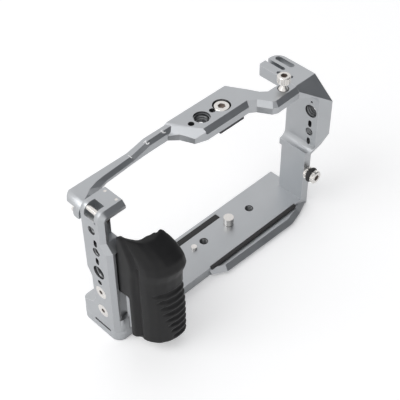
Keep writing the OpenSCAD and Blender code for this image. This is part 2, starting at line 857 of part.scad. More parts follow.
// Outline of the arm in X and Z: top block, outer wall and the step that carries the bar
module arm_profile() {
    polygon([[bay_right, bay_top], [bay_right, rail_top], [right_x, rail_top],
            [right_x, bay_z(wall_low_share) + arm_wall], [bar_right, bay_z(wall_low_share)],
            [bar_left, bay_z(wall_low_share)], [bar_left, bay_z(channel_low_share)],
            [wall_left, bay_z(channel_low_share)], [wall_left, bay_top]]);
    // round corners of the channel
    translate([wall_left, bay_top]) corner_fill(-1);
    translate([wall_left, bay_z(channel_low_share)]) corner_fill(1);
}

// Fill of the channel's corner, above it or below it
module corner_fill(side) {
    difference() {
        translate([edge / 2 - channel_r / 2, side * (channel_r - edge) / 2])
            square([channel_r + edge, channel_r + edge], center = true);
        translate([-channel_r, side * channel_r]) circle(channel_r);
    }
}

// Outline of the arm in Y and Z
module arm_side_outline() {
    polygon([[facet_y, rail_top], [arm_front, rail_top - nose_top_drop], [arm_front, bay_z(nose_low_share)],
        [base_front, bay_z(wall_low_share) + edge], [base_front, bay_z(wall_low_share) - over],
        [arm_front + arm_wall_d, bay_z(wall_low_share) - over], [arm_front + arm_wall_d,
            bay_top - channel_r],
        [arm_front + arm_wall_d + channel_r, bay_top], [back_y, bay_top], [back_y, rail_top]]);
}
facet_run = 14.3;
facet_y = arm_front + facet_run;

module side_arm() {
    color("silver") difference() {
        union() {
            intersection() {
                prism_y(arm_front - over, back_y + over) arm_profile();
                prism_x(bay_right - over, right_x + over) arm_side_outline();
                prism_z(bay_z(wall_low_share) - over, rail_top + over)
                    difference() {
                        polygon([[bay_right, seam_front], [right_x, arm_front], [right_x, back_y],
                            [bay_right, back_y]]);
                        corner_waste([right_x, back_y], [-1, -1], arm_back_r);
                        corner_waste([bay_right, back_y], [1, -1], arm_inner_r);
                    }
            }
            // lower bar
            box([bar_left, base_front, base_t], [bar_right, base_front + arm_base_d,
                bay_z(wall_low_share) + edge]);
        }
        // slot for a strap
        slot_y(strap_x, strap_back - strap_l, strap_back, strap_w, bay_top - channel_r - over,
            rail_top + over);
        // groove open at the back
        slot_y(groove_x, back_y - groove_l, back_y + groove_w, groove_w, rail_top - groove_h,
            rail_top + over);
        // small pin holes in the top
        round_z(rail_top - small_pin_h, rail_top + over, bay_right + small_pin_dia,
            back_y - groove_l + edge, small_pin_dia);
        round_z(rail_top - small_pin_h, rail_top + over, bay_right + groove_h + edge,
            top_screw_y + channel_r - edge,
            small_pin_dia);
        // threads and pin holes in the wall
        round_x(wall_left - over, right_x + over, nose_y, bay_z(arm_large_share), large_bore);
        round_x(wall_left - over, right_x + over, nose_y, bay_z(arm_quarter_share), quarter_bore);
        round_x(wall_left - over, right_x + over, nose_y, bay_z(arm_tiny_share), tiny_bore);
        for (s = arm_pill_shares) pill_x(wall_left - over, right_x + over, nose_y, bay_z(s), pill_w,
            pill_h);
        // screw into the rail, with its head sunk in the outer face, and the dowel below it
        round_x(bay_right - over, right_x + over, arm_screw_y, arm_screw_z, m3_dia + 2 * shank_gap);
        round_x(right_x - m3_head_h - arm_head_sink, right_x + over, arm_screw_y, arm_screw_z,
            m3_head_dia + edge);
        round_x(bay_right - over, bay_right + dowel_in, dowel_y, arm_screw_z, dowel_dia + 2 * shank_gap);
        // lower hand screw
        round_y(base_front - over, base_front + side_screw_in, bar_mid, side_screw_z,
            m4_dia + 2 * shank_gap);
        // screws from below
        at_arm_screws() round_z(base_t - over, arm_foot_len + edge, 0, 0, m3_dia + 2 * shank_gap);
    }
}
bar_mid = (bar_left + bar_right) / 2;
arm_head_sink = 3;

// Strap bar, pressed in from the back of the corner block
module strap_bar() {
    color("gainsboro")
        round_y(side_front + web_bevel + edge, side_back - edge, strap_bar_x, strap_bar_z, bar_dia);
}

// Pins that hold the corner pad
module corner_pins() {
    color("gainsboro")
        for (y = corner_pin_y)
            round_z(pocket_top - corner_pin_in, rail_top, corner_pin_x, y, corner_pin_dia);
}

// Rubber pad between the corner block and the camera
module corner_pad() {
    color("dimgray") difference() {
        box([corner_pin_x - corner_pad_w / 2 - edge, corner_pin_y[0] - corner_pad_w / 2,
            bay_top + pad_stand],
            [left_x + corner_w - edge, corner_pin_y[1] + corner_pad_w / 3, pocket_top]);
        for (y = corner_pin_y)
            round_z(pocket_top - corner_pin_in - edge, pocket_top + over, corner_pin_x, y,
                corner_pin_dia + 2 * shank_gap);
    }
}

// Countersunk screws through the web into the lug
module plate_screws() {
    color("gainsboro")
        for (z = plate_screw_z)
            translate([left_x, plate_screw_y, z])
                rotate([0, -90, 0])
                    sunk_screw(m4_head_dia, m4_head_h, m4_dia, plate_screw_len, m4_socket);
}

// Screws from below into the side plate's foot
module foot_screws() {
    color("gainsboro")
        at_foot_screws()
            translate([0, 0, edge])
                rotate([180, 0, 0]) cap_screw(m3_head_dia, m3_head_h, m3_dia, foot_screw_len - edge,
                    m3_socket);
}

// Screw from the front pocket into the end of the rail
module pocket_screw() {
    color("gainsboro")
        translate([pocket_screw_x, pocket_floor - m3_head_h / 2, pocket_screw_z])
            rotate([90, 0, 0])
                cap_screw(m3_head_dia, m3_head_h, m3_dia,
                    side_back + end_gap + end_lug_d - 2 * edge - pocket_floor, m3_socket);
}

// Screw from behind, through the end of the rail into the side plate
module rail_end_screw() {
    color("gainsboro")
        translate([end_screw_x, side_back + end_gap + end_lug_d + m3_head_h, end_screw_z])
            rotate([-90, 0, 0])
                cap_screw(m3_head_dia, m3_head_h, m3_dia,
                    m3_head_h + end_lug_d + end_gap + end_screw_in - edge, m3_socket);
}

// Screw through the rail into the shoe block
module shoe_screw() {
    color("gainsboro")
        translate([lens_x, shoe_screw_y, rail_top - edge])
            cap_screw(shoe_head_dia, shoe_head_h, m4_dia, rail_t + shoe_flange_h, shoe_socket);
}

// Block that slides into the camera's accessory shoe
shoe_flange_w = 18.4;
shoe_flange_h = 1.8;
shoe_neck_w = 12.3;
shoe_neck_h = 1.2;
shoe_l = 17;
module shoe_block() {
    color("darkgray") difference() {
        union() {
            box([lens_x - shoe_neck_w / 2, shoe_screw_y - shoe_l / 2, bay_top - shoe_neck_h - edge],
                [lens_x + shoe_neck_w / 2, shoe_screw_y + shoe_l / 2, bay_top]);
            box([lens_x - shoe_flange_w / 2, shoe_screw_y - shoe_l / 2,
                bay_top - shoe_neck_h - shoe_flange_h],
                [lens_x + shoe_flange_w / 2, shoe_screw_y + shoe_l / 2, bay_top - shoe_neck_h]);
        }
        round_z(bay_top - shoe_neck_h - shoe_flange_h - over, bay_top + over, lens_x, shoe_screw_y,
            m4_dia + 2 * shank_gap);
    }
}

// Screw and dowel that hold the arm to the rail
module arm_rail_screw() {
    color("gainsboro")
        translate([right_x - arm_head_sink, arm_screw_y, arm_screw_z])
            rotate([0, 90, 0])
                cap_screw(m3_head_dia, m3_head_h, m3_dia, arm_w - arm_head_sink + arm_screw_in - edge,
                    m3_socket);
}

module arm_dowel() {
    color("gainsboro")
        round_x(bay_right - dowel_in + edge, bay_right + dowel_in - edge, dowel_y, arm_screw_z, dowel_dia);
}

// Screws from below into the arm's lower bar
module arm_foot_screws() {
    color("gainsboro")
        at_arm_screws()
            translate([0, 0, edge])
                rotate([180, 0, 0]) cap_screw(m3_head_dia, m3_head_h, m3_dia, arm_foot_len - edge,
                    m3_socket);
}

// Upper hand screw: knurled head, narrow neck, flared foot and threaded shank
top_knurl_h = 4.7;
neck_dia = 2.5;
foot_dia = 5.7;
foot_h = 0.7;
flare_h = 2.4;
hand_socket = 3.6;
knurls = 16;
module top_hand_screw() {
    head_z = rail_top + top_screw_h - top_knurl_h;
    color("gainsboro") translate([top_screw_x, top_screw_y, 0]) difference() {
        union() {
            translate([0, 0, head_z]) knurled(top_head_dia, top_knurl_h, knurls);
            translate([0, 0, rail_top]) cylinder(h = head_z + edge - rail_top, d = neck_dia);
            translate([0, 0, rail_top]) cylinder(h = flare_h, d1 = foot_dia, d2 = neck_dia);
            translate([0, 0, head_z - edge]) cylinder(h = edge, d1 = neck_dia, d2 = neck_dia + 4 * edge);
            translate([0, 0, rail_top - foot_h]) cylinder(h = foot_h, d = foot_dia);
            translate([0, 0, bay_top + edge]) cylinder(h = rail_t - edge - foot_h / 2, d = m4_dia);
        }
        translate([0, 0, rail_top + top_screw_h]) socket_cut(hand_socket, top_knurl_h);
    }
}

// Ring under the upper hand screw's foot
module top_screw_ring() {
    color("black") translate([top_screw_x, top_screw_y, 0]) difference() {
        translate([0, 0, rail_top - ring_h]) cylinder(h = ring_h - foot_h - shank_gap, d = ring_dia);
        translate([0, 0, rail_top - ring_h - over]) cylinder(h = ring_h + over, d = m4_dia + 2 * shank_gap);
    }
}

// Lower hand screw: fluted head, waist with a rubber ring and a knurled flange
side_head_h = 2.6;
side_waist_h = 3;
waist_dia = 5;
flange_dia = 7.8;
module side_hand_screw() {
    flange_h = side_screw_out - side_head_h - side_waist_h;
    color("gainsboro") translate([bar_mid, base_front, side_screw_z]) rotate([90, 0, 0]) difference() {
        union() {
            translate([0, 0, side_screw_out - side_head_h]) knurled(side_head_dia, side_head_h, knurls);
            translate([0, 0, edge]) cylinder(h = side_screw_out - side_head_h, d = waist_dia);
            knurled(flange_dia, flange_h, knurls);
            translate([0, 0, edge - side_screw_in]) cylinder(h = side_screw_in, d = m4_dia);
        }
        translate([0, 0, side_screw_out]) socket_cut(hand_socket, side_waist_h);
    }
}

// Rubber ring in the lower hand screw's waist
o_ring_dia = 9.6;
module side_screw_ring() {
    ring_r = (side_waist_h - 2 * shank_gap) / 2;
    color("black")
        translate([bar_mid, base_front - side_screw_out + side_head_h + side_waist_h / 2, side_screw_z])
            rotate([90, 0, 0])
                difference() {
                    rotate_extrude() {
                        translate([o_ring_dia / 2 - ring_r, 0]) circle(ring_r);
                        translate([waist_dia / 2 + shank_gap, -ring_r])
                            square([o_ring_dia / 2 - ring_r - waist_dia / 2 - shank_gap, 2 * ring_r]);
                    }
                    translate([0, 0, -side_waist_h]) cylinder(h = 2 * side_waist_h,
                        d = waist_dia + 2 * shank_gap);
                }
}

// Camera screw and the washer that keeps it captive
module camera_screw() {
    color("gainsboro")
        translate([lens_x, camera_y, camera_sink - washer_t - camera_head_h])
            rotate([180, 0, 0])
                difference() {
                    union() {
                        translate([0, 0, -camera_head_h]) cylinder(h = camera_head_h, d = camera_head_dia);
                        translate([0, 0, stud_end])
                            cylinder(h = camera_stud - stud_gap, d = camera_screw_dia);
                        // relieved neck that keeps the screw captive
                        translate([0, 0, stud_end + edge])
                            cylinder(h = base_t + camera_stud - camera_sink + washer_t, d = neck_stud_dia);
                    }
                    socket_cut(coin_w, camera_head_h);
                    box([-camera_head_dia, -coin_slot / 2, -camera_head_h / 2],
                        [camera_head_dia, coin_slot / 2, over]);
                }
}
coin_w = 5;
coin_slot = 1.8;
stud_gap = 0.2;
neck_relief = 0.4;
neck_stud_dia = camera_screw_dia - 2 * neck_relief;
stud_end = camera_sink - washer_t - camera_head_h - base_t - camera_stud;

module camera_screw_washer() {
    color("black")
        translate([lens_x, camera_y, camera_sink - washer_t])
            difference() {
                cylinder(h = washer_t, d = camera_head_dia - edge);
                translate([0, 0, -over]) cylinder(h = washer_t + 2 * over,
                    d = camera_screw_dia + 2 * shank_gap);
            }
}

// Pin that keeps the camera from turning on the base plate
module locating_pin() {
    color("gainsboro")
        round_z(base_t - pin_in, base_t + pin_out, bay_x(pin_x_share), camera_y, pin_dia);
}

// Rubber strip along the lip and pads on the floor, under the rail and on the side plate
module front_strip() {
    color("dimgray") strip_space(pad_stand);
}

module floor_pads() {
    color("dimgray") floor_pad_space(pad_stand);
}

module rail_pads() {
    color("dimgray") rail_pad_space(pad_stand);
}

module side_pad() {
    color("dimgray") side_pad_space(pad_stand);
}

// Hand grip: a silicone shell round the camera's own grip, open behind, above and below
grip_left = web_x + edge;
grip_back_in = 9.2;
grip_back = front_y + grip_back_in;
grip_rise = 1.6;
grip_low = base_t + grip_rise;
grip_d = grip_back + back_y;
// Outer and inner outlines, as shares of the grip's width from the left and of its depth from the back
grip_outer_shares = [[0, 0], [0.01, 0.3], [0.03, 0.5], [0.13, 0.575], [0.1, 0.63], [0.15, 0.75],
    [0.26, 0.88], [0.45, 0.97], [0.65, 1], [0.83, 0.985], [0.93, 0.93], [0.98, 0.8],
    [1, 0.6], [0.99, 0.4], [0.97, 0.27]];
grip_inner_shares = [[0.184, -0.2], [0.184, 0.5], [0.22, 0.58], [0.27, 0.69], [0.36, 0.81], [0.5, 0.885],
    [0.74, 0.9], [0.83, 0.82], [0.87, 0.66], [0.88, 0.45], [0.88, -0.2]];
// Share of the depth that stays the same at every level
grip_held_share = 0.27;
// Shares at each level of the shell: of its height, of its width and of the depth in front of the held part
grip_level_shares = [[-0.03, 0.965, 0.95], [0.02, 0.97, 0.96], [0.3, 0.965, 0.97], [0.56, 0.935, 0.93],
    [0.64, 0.94, 0.935],
    [0.72, 0.995, 1], [0.787, 0.985, 0.93], [0.84, 0.95, 0.79], [0.893, 0.9, 0.58],
    [0.947, 0.82, 0.36], [1, 0.74, 0.18], [1.06, 0.66, 0.05]];
// Top edge, as shares of the grip's width and of the bay's height
grip_edge_shares = [[-0.05, 0.939], [0.208, 0.914], [0.632, 0.927], [0.774, 0.914], [0.915, 0.865],
    [1.05, 0.8], [1.05, 1.15], [-0.05, 1.15]];
// How far the hollow lies below the shell's outer form
grip_drop = 3;
// Edge of the shell's lens side, as shares of its depth from the back and of its height
lens_edge_shares = [[-0.1, 0.772], [0.7, 0.772], [0.768, 0.792], [0.69, 0.84], [0.567, 0.904],
    [0.481, 0.954], [0.481, 1.1], [-0.1, 1.1]];
lens_side_share = 0.65;

function grip_depth(share, level) =
    share > grip_held_share ? grip_held_share + (share - grip_held_share) * level[2] : share;
function grip_ring(shares, level) =
    [for (s = shares) [grip_left + grip_w * s.x * level[1], grip_back - grip_d * grip_depth(s.y, level)]];
function grip_z(level) = grip_low + (base_t + grip_top - grip_low) * level[0];

module grip_loft(shares) {
    ring_solid([for (level = grip_level_shares) at_z(grip_ring(shares, level), grip_z(level))]);
}

module grip_shell() {
    difference() {
        grip_loft(grip_outer_shares);
        translate([0, 0, -grip_drop]) grip_loft(grip_inner_shares);
        // foot, level with the others
        box([left_x, -back_y - over, 0], [bay_right, back_y, grip_low]);
        // top edge, lower towards the lens
        prism_y(-back_y - over, grip_back + over)
            polygon([for (s = grip_edge_shares) [grip_left + grip_w * s.x, bay_z(s.y)]]);
        // lens side, cut back where the camera's body begins
        prism_x(grip_left + grip_w * lens_side_share, bay_right)
            polygon([for (s = lens_edge_shares) [grip_back - grip_d * s.x, grip_z([s.y])]]);
    }
}

module hand_grip() {
    color([0.16, 0.16, 0.16]) difference() {
        grip_shell();
        // room for the thick block of the side plate
        box([grip_left - over, side_low_front - soft_gap, bay_z(block_low_share) - soft_gap],
            [bay_left, grip_back + over, rail_top]);
        // window in front of the side plate's foot
        box([grip_left - over, side_low_front - soft_gap - grip_window_gap, grip_low - over],
            [bay_left + soft_gap, grip_back + over, base_t + lug_h + soft_gap]);
        // room for the carrier
        box([carrier_left - slip_gap, carrier_front - slip_gap, bay_z(carrier_low_share) - slip_gap],
            [bay_left + over, grip_back + over, bay_z(block_low_share)]);
    }
}
grip_window_gap = 5.6;

// Carrier: a stiff plate behind the grip's left wall, screwed to the side plate from inside
carrier_t = 1.6;
carrier_left = bay_left - slip_gap - carrier_t;
carrier_reach = 5;
carrier_front = front_y - carrier_reach;
carrier_low_share = 0.44;
carrier_high_share = 0.735;
carrier_boss_dia = 5;
module grip_carrier() {
    color("dimgray") difference() {
        union() {
            box([carrier_left, carrier_front, bay_z(carrier_low_share)],
                [bay_left - slip_gap, side_back - edge, bay_z(carrier_high_share)]);
            for (s = carrier_boss_shares)
                round_x(web_x, carrier_left + edge, carrier_boss_y, bay_z(s), carrier_boss_dia);
        }
        for (s = carrier_boss_shares) {
            round_x(web_x - over, bay_left + over, carrier_boss_y, bay_z(s), m3_dia + 2 * shank_gap);
            round_x(bay_left - slip_gap - grip_head_h, bay_left + over, carrier_boss_y, bay_z(s),
                m3_head_dia + edge);
        }
        // the tripod threads of the web stay open behind
        web_hole(large_hole_in, large_hole_share, large_bore + 2 * over);
        web_pill(middle_pill_share);
    }
}
grip_head_h = 1.2;

module grip_screws() {
    color("gainsboro")
        for (s = carrier_boss_shares)
            translate([bay_left - slip_gap, carrier_boss_y, bay_z(s)])
                rotate([0, 90, 0])
                    cap_screw(m3_head_dia, grip_head_h, m3_dia,
                        bay_left - slip_gap - web_x + grip_screw_in - edge, m3_socket);
}

base_plate();
side_plate();
top_rail();
side_arm();
strap_bar();
corner_pins();
corner_pad();
plate_screws();
foot_screws();
pocket_screw();
rail_end_screw();
shoe_screw();
shoe_block();
arm_rail_screw();
arm_dowel();
arm_foot_screws();
top_hand_screw();
top_screw_ring();
side_hand_screw();
side_screw_ring();
camera_screw();
camera_screw_washer();
locating_pin();
front_strip();
floor_pads();
rail_pads();
side_pad();
hand_grip();
grip_carrier();
grip_screws();
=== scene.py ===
import json
import math
import bmesh
import bpy
from mathutils import Matrix, Vector


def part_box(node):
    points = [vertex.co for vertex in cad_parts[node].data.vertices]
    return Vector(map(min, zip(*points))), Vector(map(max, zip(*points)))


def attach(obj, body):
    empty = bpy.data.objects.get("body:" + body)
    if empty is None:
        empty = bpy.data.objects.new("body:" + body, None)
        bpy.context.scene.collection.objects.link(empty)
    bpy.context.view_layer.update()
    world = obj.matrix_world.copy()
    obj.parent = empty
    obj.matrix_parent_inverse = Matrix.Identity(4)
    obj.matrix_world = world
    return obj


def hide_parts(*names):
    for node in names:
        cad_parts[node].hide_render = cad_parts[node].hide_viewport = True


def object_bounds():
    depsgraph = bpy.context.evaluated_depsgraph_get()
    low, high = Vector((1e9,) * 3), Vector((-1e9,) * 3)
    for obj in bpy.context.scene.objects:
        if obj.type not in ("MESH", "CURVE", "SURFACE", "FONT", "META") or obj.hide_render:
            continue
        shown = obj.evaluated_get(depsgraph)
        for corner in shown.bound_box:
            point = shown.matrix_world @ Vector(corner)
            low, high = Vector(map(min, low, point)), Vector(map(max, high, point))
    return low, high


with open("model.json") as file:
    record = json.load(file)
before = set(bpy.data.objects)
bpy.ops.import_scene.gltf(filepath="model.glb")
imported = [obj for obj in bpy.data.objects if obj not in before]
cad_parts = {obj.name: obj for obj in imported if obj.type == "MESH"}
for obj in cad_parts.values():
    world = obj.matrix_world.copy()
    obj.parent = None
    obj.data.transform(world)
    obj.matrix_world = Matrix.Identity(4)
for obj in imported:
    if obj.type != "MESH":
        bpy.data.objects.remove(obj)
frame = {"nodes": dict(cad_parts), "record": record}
cad_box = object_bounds()
scene = bpy.context.scene
node = frame["nodes"]

# Metal body: base plate, side plate, top rail and side arm, each milled from an aluminium bar,
# bead blasted and clear anodised. The cutter leaves a fine broken edge that catches the light.
mm = 0.001


def wire(tree, source, target):
    tree.links.new(source, target)


def mixed(tree, amount, first, second):
    """Colour between two, each a colour or a socket, by a value that changes over the surface."""
    mix = tree.nodes.new("ShaderNodeMix")
    mix.data_type = "RGBA"
    for label, colour in (("A", first), ("B", second)):
        if isinstance(colour, tuple):
            mix.inputs[label].default_value = (*colour, 1)
        else:
            wire(tree, colour, mix.inputs[label])
    wire(tree, amount, mix.inputs["Factor"])
    return mix.outputs["Result"]


def remapped(tree, value, span, new_span=(0.0, 1.0), interpolation="LINEAR"):
    """Value carried from one span to another and kept inside it."""
    remap = tree.nodes.new("ShaderNodeMapRange")
    remap.interpolation_type = interpolation
    remap.inputs["From Min"].default_value, remap.inputs["From Max"].default_value = span
    remap.inputs["To Min"].default_value, remap.inputs["To Max"].default_value = new_span
    wire(tree, value, remap.inputs["Value"])
    return remap.outputs["Result"]


def group_sockets(group, way, starts):
    """Named number sockets of a node group, with the values that they start from."""
    for label, start in starts:
        socket = group.interface.new_socket(label, in_out=way, socket_type="NodeSocketFloat")
        socket.default_value = start


# grain: fine pits from blasting or the mould, and broad soft patches, which every finish shares
patch_span = (0.35, 0.65)
wide_patch_span = (0.3, 0.7)
grain = bpy.data.node_groups.new("surface_grain", "ShaderNodeTree")
group_sockets(grain, "INPUT", (("Fine Scale", 2500.0), ("Patch Scale", 60.0)))
group_sockets(grain, "OUTPUT", (("Pits", 0.0), ("Patches", 0.0)))
grain_in = grain.nodes.new("NodeGroupInput")
grain_out = grain.nodes.new("NodeGroupOutput")
grain_place = grain.nodes.new("ShaderNodeTexCoord")
for label, scale_name, detail in (("Pits", "Fine Scale", 3.0), ("Patches", "Patch Scale", 4.0)):
    noise = grain.nodes.new("ShaderNodeTexNoise")
    noise.inputs["Detail"].default_value = detail
    wire(grain, grain_place.outputs["Object"], noise.inputs["Vector"])
    wire(grain, grain_in.outputs[scale_name], noise.inputs["Scale"])
    wire(grain, noise.outputs["Fac"], grain_out.inputs[label])

# edge wear: a mask of the outer edges, broken up by the patches, which the hard finishes share. An
# edge is where the rounded normal leaves the face's own, so the mask starts at a cosine below 1
edge_cosines = (0.995, 0.9)
least_wear = 0.45
wear = bpy.data.node_groups.new("edge_wear", "ShaderNodeTree")
group_sockets(wear, "INPUT", (("Width", 0.3 * mm), ("Patches", 0.0)))
group_sockets(wear, "OUTPUT", (("Edge", 0.0),))
wear_in = wear.nodes.new("NodeGroupInput")
wear_out = wear.nodes.new("NodeGroupOutput")
wear_round = wear.nodes.new("ShaderNodeBevel")
wear_round.samples = 6
wear_shape = wear.nodes.new("ShaderNodeNewGeometry")
wear_dot = wear.nodes.new("ShaderNodeVectorMath")
wear_dot.operation = "DOT_PRODUCT"
wire(wear, wear_in.outputs["Width"], wear_round.inputs["Radius"])
wire(wear, wear_round.outputs["Normal"], wear_dot.inputs[0])
wire(wear, wear_shape.outputs["Normal"], wear_dot.inputs[1])
wear_mask = wear.nodes.new("ShaderNodeMath")
wear_mask.operation = "MULTIPLY"
wear_edge = remapped(wear, wear_dot.outputs["Value"], edge_cosines)
wear_break = remapped(wear, wear_in.outputs["Patches"], patch_span, (least_wear, 1.0))
wire(wear, wear_edge, wear_mask.inputs[0])
wire(wear, wear_break, wear_mask.inputs[1])
wire(wear, wear_mask.outputs["Value"], wear_out.inputs["Edge"])

pit_strength = 0.35


def finish(name, shade, patch_shade, metallic, roughness, pit_scale, pit_depth, worn=None):
    """A finish with pits and patches. worn holds the shade of its rubbed edges and their width."""
    material = bpy.data.materials.new(name)
    material.use_nodes = True
    tree = material.node_tree
    surface = tree.nodes["Principled BSDF"]
    surface.inputs["Metallic"].default_value = metallic
    body_grain = tree.nodes.new("ShaderNodeGroup")
    body_grain.node_tree = grain
    body_grain.inputs["Fine Scale"].default_value = pit_scale
    patches = body_grain.outputs["Patches"]
    colour = mixed(tree, remapped(tree, patches, patch_span), shade, patch_shade)
    if worn:
        worn_shade, edge_width = worn
        rubbed = tree.nodes.new("ShaderNodeGroup")
        rubbed.node_tree = wear
        rubbed.inputs["Width"].default_value = edge_width
        wire(tree, patches, rubbed.inputs["Patches"])
        colour = mixed(tree, rubbed.outputs["Edge"], colour, worn_shade)
    wire(tree, colour, surface.inputs["Base Color"])
    wire(tree, remapped(tree, patches, wide_patch_span, roughness), surface.inputs["Roughness"])
    bump = tree.nodes.new("ShaderNodeBump")
    bump.inputs["Strength"].default_value = pit_strength
    bump.inputs["Distance"].default_value = pit_depth
    wire(tree, body_grain.outputs["Pits"], bump.inputs["Height"])
    wire(tree, bump.outputs["Normal"], surface.inputs["Normal"])
    return material


blasted_aluminium = finish("blasted_aluminium",
    shade=(0.505, 0.52, 0.535), patch_shade=(0.53, 0.545, 0.56),
    metallic=1.0, roughness=(0.36, 0.42), pit_scale=3200, pit_depth=0.03 * mm,
    worn=((0.80, 0.81, 0.82), 0.28 * mm))


def give(name, material):
    """Puts one finish on all of a node's faces."""
    node[name].data.materials.clear()
    node[name].data.materials.append(material)


same_point = 0.002 * mm
sharp_angle = math.radians(28)


def break_edges(name, width):
    """Rounds a milled node's sharp edges by a fraction of a millimetre."""
    weld = node[name].modifiers.new("weld", "WELD")
    weld.merge_threshold = same_point
    soften = node[name].modifiers.new("soften", "BEVEL")
    soften.width = width
    soften.segments = 2
    soften.limit_method = "ANGLE"
    soften.angle_limit = sharp_angle
    soften.miter_outer = "MITER_ARC"
    soften.harden_normals = True


for name in ("base_plate", "side_plate", "top_rail", "side_arm"):
    give(name, blasted_aluminium)
    break_edges(name, 0.18 * mm)

# Holes: the drilled, milled and tapped walls of the body's pin holes, slots and thread bores.
# Their dark colour is painted shade, as falls inside the holes, and they are duller than the faces.
bore_painted_shade = finish("bore_painted_shade",
    shade=(0.10, 0.102, 0.106), patch_shade=(0.14, 0.142, 0.146),
    metallic=1.0, roughness=(0.42, 0.52), pit_scale=2600, pit_depth=0.03 * mm)
across_limit = 0.5


def paint_bore_shade(name, low, high, axis):
    """Paints shade on a node's faces in a box, in mm, with the dark bore finish; faces along the
    axis keep theirs.
    """
    data = node[name].data
    if bore_painted_shade.name not in data.materials:
        data.materials.append(bore_painted_shade)
    for face in data.polygons:
        inside = all(low[i] < face.center[i] / mm < high[i] for i in range(3))
        if inside and abs(face.normal[axis]) < across_limit:
            face.material_index = 1


# the row in the side plate's web
paint_bore_shade("side_plate", (-80.5, 0.5, 39), (-76, 11.2, 84), 0)
# the pin holes, screw recess and thread in the rail's raised part
paint_bore_shade("top_rail", (-3, 14.1, 86.8), (28.6, 25.2, 94.1), 2)
# the slots and small thread, and then the large thread and pin hole, in the arm's nose
paint_bore_shade("side_arm", (70, -4.1, 49), (80.5, -1.1, 66), 0)
paint_bore_shade("side_arm", (70, -7.1, 68), (80.5, 1.9, 78), 0)
# the threads in the base plate
paint_bore_shade("base_plate", (-60, 6, -0.1), (58, 20, 6.5), 2)

# Threads: the tapped ridges of the large and small tripod holes, in the rail, the side plate,
# the arm and the base plate. They are cut in the same aluminium and rubbed smooth by the tap;
# their dark colour is painted shade, as falls deep in the bores.
thread_painted_shade = finish("thread_painted_shade",
    shade=(0.20, 0.205, 0.21), patch_shade=(0.26, 0.265, 0.27),
    metallic=1.0, roughness=(0.26, 0.36), pit_scale=2600, pit_depth=0.02 * mm)
inch = 25.4
large_pitch = inch / 16 * mm
small_pitch = inch / 20 * mm
large_thread_from = 3.5 * mm
ridge_steps = 36
ridge_height = 0.36 * mm
root_sink = 0.03 * mm
root_half_share = 0.42
crest_half_share = 0.07


def solid_piece(name, mesh, material, smooth):
    """A closed mesh as a piece of the scene, with its faces outwards and one finish."""
    bmesh.ops.recalc_face_normals(mesh, faces=mesh.faces)
    for face in mesh.faces:
        face.smooth = smooth
    data = bpy.data.meshes.new(name)
    mesh.to_mesh(data)
    mesh.free()
    data.materials.append(material)
    piece = bpy.data.objects.new(name, data)
    scene.collection.objects.link(piece)
    return piece


def tapped(name, centre, axis, bore_r, pitch, length):
    """Helical ridge inside a bore; its root is sunk in the bore's wall."""
    root = bore_r + root_sink
    crest = bore_r - ridge_height
    profile = ((root, -root_half_share * pitch), (crest, -crest_half_share * pitch),
        (crest, crest_half_share * pitch), (root, root_half_share * pitch))
    turns = (length - pitch) / pitch
    along = Vector(axis).normalized()
    side = along.orthogonal().normalized()
    other = along.cross(side)
    mesh = bmesh.new()
    rows = []
    for i in range(int(turns * ridge_steps) + 1):
        angle = 2 * math.pi * i / ridge_steps
        out = side * math.cos(angle) + other * math.sin(angle)
        rise = -length / 2 + pitch / 2 + pitch * i / ridge_steps
        rows.append([mesh.verts.new(Vector(centre) + out * r + along * (rise + h))
            for r, h in profile])
    for a, b in zip(rows, rows[1:]):
        for j in range(len(profile)):
            k = (j + 1) % len(profile)
            mesh.faces.new((a[j], a[k], b[k], b[j]))
    mesh.faces.new(rows[0][::-1])
    mesh.faces.new(rows[-1])
    piece = solid_piece(name, mesh, thread_painted_shade, smooth=False)
    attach(piece, "cage")


for mount in frame["record"]["mounts"]:
    if mount["kind"] == "threaded_hole":
        radius = mount["dims"]["r_mm"] * mm
        wall = mount["dims"]["length_mm"] * mm
        middle = list(mount["pos_m"])
        # the side threads start at the cage's outer faces
        if mount["axis"][0] < 0:
            middle[0] = cad_box[0][0] + wall / 2
        elif mount["axis"][0] > 0:
            middle[0] = cad_box[1][0] - wall / 2
        pitch = large_pitch if radius > large_thread_from else small_pitch
        tapped(mount["name"] + "_ridges", middle, mount["axis"], radius, pitch, wall)

# Screws, pins and dowels: turned and rolled stainless steel, pushed or screwed into the metal body.
# Their sockets are punched, and painted darker than the heads as the shade that falls inside them.
turned_steel = finish("turned_steel",
    shade=(0.80, 0.775, 0.745), patch_shade=(0.86, 0.835, 0.80),
    metallic=1.0, roughness=(0.22, 0.30), pit_scale=3600, pit_depth=0.01 * mm,
    worn=((0.95, 0.93, 0.90), 0.12 * mm))
# the sockets' finish is painted shade: its dark colour stands for the shade inside them
socket_painted_shade = finish("socket_painted_shade",
    shade=(0.36, 0.31, 0.28), patch_shade=(0.42, 0.37, 0.34),
    metallic=0.8, roughness=(0.38, 0.48), pit_scale=3000, pit_depth=0.02 * mm)
for name in ("strap_bar", "corner_pins", "plate_screws", "foot_screws", "pocket_screw",
        "rail_end_screw", "shoe_screw", "arm_rail_screw", "arm_dowel", "arm_foot_screws",
        "top_hand_screw", "side_hand_screw", "camera_screw", "locating_pin", "grip_screws"):
    give(name, turned_steel)

head_skin = 0.02 * mm


def paint_socket_shade(name, centres, way_out, radius, depth):
    """Gives the faces inside a node's sockets, sized in mm, the dark finish that paints their
    shade.
    """
    data = node[name].data
    data.materials.append(socket_painted_shade)
    along = Vector(way_out).normalized()
    for face in data.polygons:
        for centre in centres:
            way = face.center - Vector(centre)
            rise = way.dot(along)
            if (way - along * rise).length < radius * mm and -depth * mm < rise < -head_skin:
                face.material_index = 1


def head_centre(name, way_out):
    """Middle of a node's outer face along an axis, from the node's box."""
    low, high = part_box(name)
    middle = [(a + b) / 2 for a, b in zip(low, high)]
    for i, way in enumerate(way_out):
        if way:
            middle[i] = high[i] if way > 0 else low[i]
    return middle


